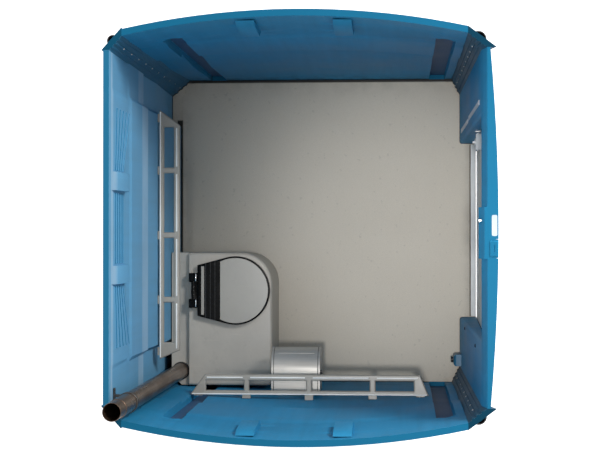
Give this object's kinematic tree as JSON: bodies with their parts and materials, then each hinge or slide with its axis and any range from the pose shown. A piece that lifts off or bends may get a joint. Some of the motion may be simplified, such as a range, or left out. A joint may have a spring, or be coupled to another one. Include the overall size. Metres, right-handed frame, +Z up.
{
  "type": "portable toilet cabin",
  "caption": "Portable toilet cabin, roof off: moulded walls, hinged door with turn latch, lidded seat on a waste tank, vent pipe, grab rails and paper holder.",
  "frame": {"origin": "on the ground under the middle of the whole, pull handle included", "axes": "+Z up, -Y out of the doorway, +X to the right as seen from the door"},
  "size_m": [1.798, 1.7488, 2.385],
  "materials": {
    "shell_blue": "moulded polyethylene, satin",
    "trim_black": "moulded, satin",
    "floor_grey": "moulded, fine grain",
    "tank_grey": "moulded polyethylene",
    "moulding_black": "moulded, satin",
    "cover_grey": "moulded, satin",
    "panel_grey": "moulded, flat",
    "rail_grey": "moulded, satin",
    "jamb_grey": "moulded, satin",
    "pipe_grey": "extruded",
    "door_white": "moulded, satin",
    "metal": "zinc plated",
    "fastener": "plain",
    "soft_black": "soft",
    "paper_white": "plain",
    "indicator_green": "gloss"
  },
  "bodies": {
    "cabin": {"corner_cover_front_left": "trim_black", "corner_cover_front_right": "trim_black", "corner_cover_rear_left": "trim_black", "corner_cover_rear_right": "trim_black", "corner_post_front_left": "shell_blue", "corner_post_front_right": "shell_blue", "corner_post_rear_left": "shell_blue", "corner_post_rear_right": "shell_blue", "corner_rivets": "fastener", "door_seals": "soft_black", "drop_chute": "tank_grey", "floor_pan": "floor_grey", "foot_screws": "fastener", "front_panel_left": "shell_blue", "front_panel_right": "shell_blue", "grab_rail_rear": "rail_grey", "grab_rail_side": "rail_grey", "header_bolt": "fastener", "header_cap": "shell_blue", "header_pane": "jamb_grey", "hinge_jamb_screws": "fastener", "hinge_jamb_straps": "metal", "hinge_pins": "metal", "holder_pins": "metal", "holder_plate": "metal", "jamb_fixings": "soft_black", "jamb_foot": "shell_blue", "jamb_foot_plug": "trim_black", "jamb_strips": "jamb_grey", "latch_keeper": "metal", "lid_pin": "metal", "pipe_clip": "metal", "pipe_gasket": "soft_black", "rail_bolts": "fastener", "rear_wall": "shell_blue", "roll_spindle": "moulding_black", "seat_bumpers": "soft_black", "seat_hinge_blocks": "moulding_black", "seat_ring": "moulding_black", "side_wall_left": "shell_blue", "side_wall_right": "shell_blue", "threshold_strip": "metal", "vent_pipe": "pipe_grey", "waste_tank": "tank_grey"},
    "door": {"door_leaf": "door_white", "hinge_leaf_straps": "metal", "hinge_leaf_screws": "fastener", "latch_case": "door_white", "pull_handle": "moulding_black"},
    "latch_turn": {"latch_spindle": "metal", "latch_knob": "door_white", "latch_indicator": "indicator_green"},
    "latch_slide": {"latch_bolt": "metal"},
    "lid": {"lid": "moulding_black", "lid_panel": "panel_grey", "lid_bar": "panel_grey"},
    "holder_cover": {"holder_cover": "cover_grey"},
    "holder_lock": {"holder_lock": "moulding_black"},
    "roll_front": {"paper_roll_front": "paper_white"},
    "roll_rear": {"paper_roll_rear": "paper_white"}
  },
  "joints": [
    {"name": "door_swing", "type": "hinge", "parent": "cabin", "child": "door", "pos_m": [-0.497, -0.82144, 0.97061], "axis": [0, -0.0254, -0.9997], "range_deg": [0, 110]},
    {"name": "latch_turn", "type": "hinge", "parent": "door", "child": "latch_turn", "pos_m": [0.415, -0.77375, 1.03673], "axis": [0, -0.9997, 0.0254], "range_deg": [0, 90]},
    {"name": "bolt_slide", "type": "slide", "parent": "door", "child": "latch_slide", "axis": [1, 0, 0], "range_m": [0, 0.0251]},
    {"name": "lid_lift", "type": "hinge", "parent": "cabin", "child": "lid", "pos_m": [-0.313, 0.66964, 0.512], "axis": [-1, 0, 0], "range_deg": [0, 89]},
    {"name": "holder_open", "type": "hinge", "parent": "cabin", "child": "holder_cover", "pos_m": [-0.792, 0.12114, 0.548], "axis": [0, 1, 0], "range_deg": [0, 95]},
    {"name": "holder_lock_turn", "type": "hinge", "parent": "holder_cover", "child": "holder_lock", "pos_m": [-0.713, -0.00036, 0.725], "axis": [0, -1, 0], "range_deg": [0, 90]},
    {"name": "roll_front_spin", "type": "hinge", "parent": "cabin", "child": "roll_front", "pos_m": [-0.706, 0.06264, 0.657], "axis": [0, 1, 0], "continuous": true},
    {"name": "roll_rear_spin", "type": "hinge", "parent": "cabin", "child": "roll_rear", "pos_m": [-0.706, 0.18264, 0.657], "axis": [0, 1, 0], "continuous": true}
  ],
  "couplings": [
    {"joint": "bolt_slide", "follows": "latch_turn", "m_per_rad": 0.015915}
  ]
}
